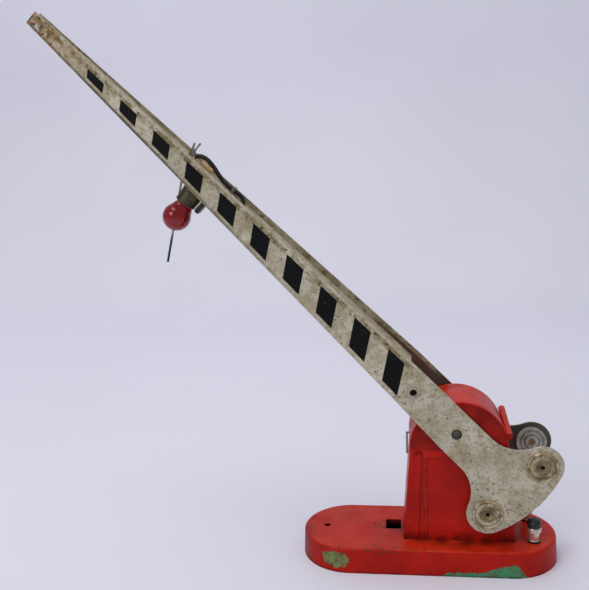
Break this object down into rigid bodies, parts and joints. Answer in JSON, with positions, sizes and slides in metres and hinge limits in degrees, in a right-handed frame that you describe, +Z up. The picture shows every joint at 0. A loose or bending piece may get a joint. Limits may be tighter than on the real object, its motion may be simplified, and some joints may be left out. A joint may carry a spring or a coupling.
{
  "type": "toy railway level-crossing gate",
  "caption": "Solenoid-worked toy railway level-crossing gate: red cast base and domed tower, long tapered striped boom with red lamp, rod and disc counterweights.",
  "frame": {"origin": "centre of the base's underside, midway between its two screw holes", "axes": "+Z up; +X along the base towards the binding posts, the boom points to -X; +Y across the base, away from the side with the near arm plate"},
  "size_m": [0.2097, 0.0414, 0.2297],
  "materials": {
    "red_enamel": "aged gloss enamel, chipped at the edges",
    "silver_paint": "dull aluminium paint, speckled with rust",
    "dark_steel": "dull, blackened",
    "bright_steel": "dull, lightly tarnished",
    "aged_zinc": "dull plating with brown stains",
    "nickel": "polished nickel, slightly yellowed",
    "brass": "tarnished",
    "black_plastic": "moulded, slightly worn gloss",
    "fibre": "pressed fibre board",
    "copper_wire": "varnished copper wire, wound in layers",
    "lead_sleeve": "old cotton-and-rubber sleeving, matt",
    "olive_steel": "oxidised plated steel",
    "red_glass": "transparent red lacquered glass"
  },
  "bodies": {
    "stand": {"base_casting": "red_enamel", "bottom_plate": "dark_steel", "bottom_screws": "bright_steel", "tower_casing": "red_enamel", "casing_screws": "bright_steel", "dome_cap": "red_enamel", "front_wire_staple": "bright_steel", "rear_buffer_bar": "red_enamel", "solenoid_frame": "dark_steel", "solenoid_screws": "bright_steel", "coil_bobbin": "fibre", "coil_winding": "copper_wire", "core_stop": "dark_steel", "post_washers": "black_plastic", "binding_studs": "brass", "stud_bushes": "fibre", "stud_collars": "nickel", "stud_nuts": "brass", "coil_leads": "lead_sleeve"},
    "gate": {"pivot_axle": "bright_steel", "axle_collars": "dark_steel", "side_washers": "bright_steel", "crank": "dark_steel", "crank_pin": "bright_steel", "near_arm_plate": "silver_paint", "far_arm_plate": "silver_paint", "arm_web": "silver_paint", "cross_tube": "bright_steel", "near_upper_weight": "dark_steel", "near_lower_weight": "dark_steel", "far_upper_weight": "dark_steel", "far_lower_weight": "dark_steel", "weight_washers": "aged_zinc", "weight_rivets": "bright_steel", "lamp_bracket": "bright_steel", "bracket_insulator": "black_plastic", "bracket_rivet": "bright_steel", "lamp_socket": "olive_steel", "socket_insulator": "fibre", "centre_contact": "brass", "bulb_base": "brass", "bulb_glass": "red_glass", "bulb_filament": "bright_steel", "web_insulator": "fibre", "lamp_terminal": "bright_steel", "lamp_lead": "lead_sleeve", "lead_strap": "bright_steel", "lead_lug": "brass", "rod_pin": "bright_steel"},
    "plunger": {"plunger": "bright_steel"},
    "drop_rod": {"drop_rod": "bright_steel"},
    "near_thumb_nut": {"near_thumb_nut": "black_plastic"},
    "far_thumb_nut": {"far_thumb_nut": "black_plastic"}
  },
  "joints": [
    {"name": "gate_swing", "type": "hinge", "parent": "stand", "child": "gate", "pos_m": [0.0114, 0, 0.0577], "axis": [0, 1, 0], "range_deg": [-45.9, 38]},
    {"name": "plunger_slide", "type": "slide", "parent": "stand", "child": "plunger", "axis": [0, 0, 1], "range_m": [-0.005, 0.0042]},
    {"name": "rod_swing", "type": "hinge", "parent": "gate", "child": "drop_rod", "pos_m": [-0.09762, 0.0058, 0.16775], "axis": [0, 1, 0], "range_deg": [-50, 50]},
    {"name": "near_nut_turn", "type": "hinge", "parent": "stand", "child": "near_thumb_nut", "pos_m": [0.0424, -0.0094, 0.0185], "axis": [0, 0, 1], "continuous": true},
    {"name": "far_nut_turn", "type": "hinge", "parent": "stand", "child": "far_thumb_nut", "pos_m": [0.0424, 0.0094, 0.0185], "axis": [0, 0, 1], "continuous": true}
  ],
  "couplings": [
    {"joint": "plunger_slide", "follows": "gate_swing", "m_per_rad": 0.0061}
  ]
}
